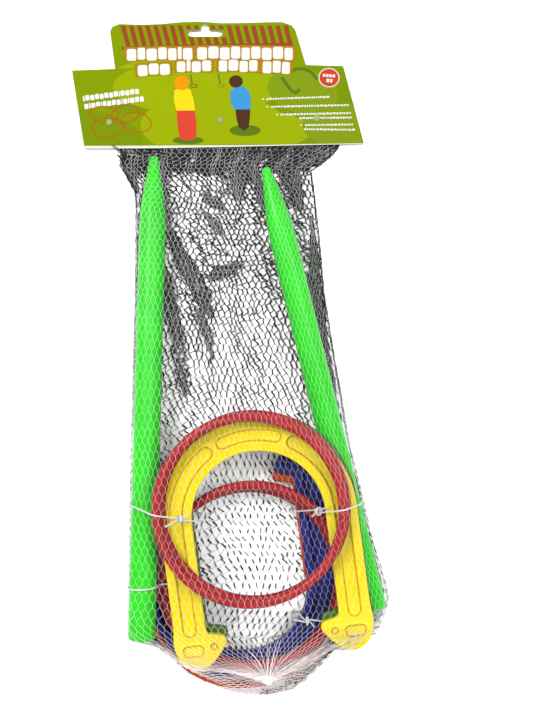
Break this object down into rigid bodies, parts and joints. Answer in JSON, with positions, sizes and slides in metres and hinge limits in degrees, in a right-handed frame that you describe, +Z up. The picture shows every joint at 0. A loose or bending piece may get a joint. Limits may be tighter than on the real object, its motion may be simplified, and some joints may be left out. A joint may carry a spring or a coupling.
{
  "type": "ring toss set",
  "caption": "Lawn game set of ground stakes, plastic horseshoes and plastic rings, tied and packed in a net bag under a folded header card with a hanging slot.",
  "frame": {"origin": "middle of the bounding box, at the underside of the net bag that lies on the ground", "axes": "+Z up, +Y along the set towards the header card, +X to the right seen from above"},
  "size_m": [0.2163, 0.4642, 0.0567],
  "materials": {
    "red_plastic": "glossy, one moulding",
    "yellow_plastic": "satin, moulded",
    "dark_green_plastic": "satin, moulded",
    "blue_plastic": "satin, moulded",
    "orange_plastic": "satin, moulded",
    "bright_green_plastic": "satin, moulded tube",
    "printed_card": "printed front, plain back",
    "snap_plastic": "moulded",
    "white_string": "fine twisted strands",
    "dark_net": "fine knitted net"
  },
  "bodies": {
    "bag": {"net_back": "dark_net", "net_front": "white_string", "bag_knot": "white_string", "tie_upper_left": "white_string", "tie_upper_left_knot": "white_string", "tie_upper_right": "white_string", "tie_upper_right_knot": "white_string", "tie_lower_left": "white_string", "tie_lower_left_knot": "white_string", "tie_lower_right": "white_string", "tie_lower_right_knot": "white_string"},
    "card": {"header_card": "printed_card", "net_collar": "white_string", "rivet_left": "snap_plastic", "rivet_middle": "snap_plastic", "rivet_right": "snap_plastic"},
    "ring_upper_top": {"ring_upper_top": "red_plastic"},
    "ring_upper_under": {"ring_upper_under": "red_plastic"},
    "ring_lower_top": {"ring_lower_top": "red_plastic"},
    "ring_lower_under": {"ring_lower_under": "red_plastic"},
    "horseshoe_yellow": {"horseshoe_yellow": "yellow_plastic"},
    "horseshoe_green": {"horseshoe_green": "dark_green_plastic"},
    "horseshoe_blue": {"horseshoe_blue": "blue_plastic"},
    "horseshoe_red": {"horseshoe_red": "orange_plastic"},
    "stake_left": {"stake_left": "bright_green_plastic"},
    "stake_right": {"stake_right": "bright_green_plastic"}
  },
  "joints": [
    {"name": "card_flap", "type": "hinge", "parent": "bag", "child": "card", "pos_m": [-0.0012, 0.1457, 0.00265], "axis": [0.9998, 0.0177, 0], "range_deg": [0, 60]},
    {"name": "ring_upper_top_spin", "type": "hinge", "parent": "bag", "child": "ring_upper_top", "pos_m": [0.0146, -0.0978, 0.0511], "axis": [0, 0, 1], "continuous": true},
    {"name": "ring_upper_under_spin", "type": "hinge", "parent": "bag", "child": "ring_upper_under", "pos_m": [0.0172, -0.0964, 0.0446], "axis": [0, 0, 1], "continuous": true},
    {"name": "ring_lower_top_spin", "type": "hinge", "parent": "bag", "child": "ring_lower_top", "pos_m": [0.0166, -0.1445, 0.0242], "axis": [0, 0, 1], "continuous": true},
    {"name": "ring_lower_under_spin", "type": "hinge", "parent": "bag", "child": "ring_lower_under", "pos_m": [0.0138, -0.1473, 0.0177], "axis": [0, 0, 1], "continuous": true},
    {"name": "stake_left_roll", "type": "hinge", "parent": "bag", "child": "stake_left", "pos_m": [-0.0537, -0.0242, 0.0245], "axis": [0.0191, 0.9973, -0.0708], "continuous": true},
    {"name": "stake_right_roll", "type": "hinge", "parent": "bag", "child": "stake_right", "pos_m": [0.06145, -0.02, 0.0194], "axis": [-0.2373, 0.9714, 0], "continuous": true},
    {"name": "horseshoe_yellow_shift", "type": "slide", "parent": "bag", "child": "horseshoe_yellow", "axis": [-0.1305, 0.9914, 0], "range_m": [0, 0.003]},
    {"name": "horseshoe_green_shift", "type": "slide", "parent": "bag", "child": "horseshoe_green", "axis": [-0.1305, 0.9914, 0], "range_m": [0, 0.003]},
    {"name": "horseshoe_blue_shift", "type": "slide", "parent": "bag", "child": "horseshoe_blue", "axis": [-0.1271, 0.9919, 0], "range_m": [0, 0.003]},
    {"name": "horseshoe_red_shift", "type": "slide", "parent": "bag", "child": "horseshoe_red", "axis": [-0.1271, 0.9919, 0], "range_m": [0, 0.003]}
  ]
}
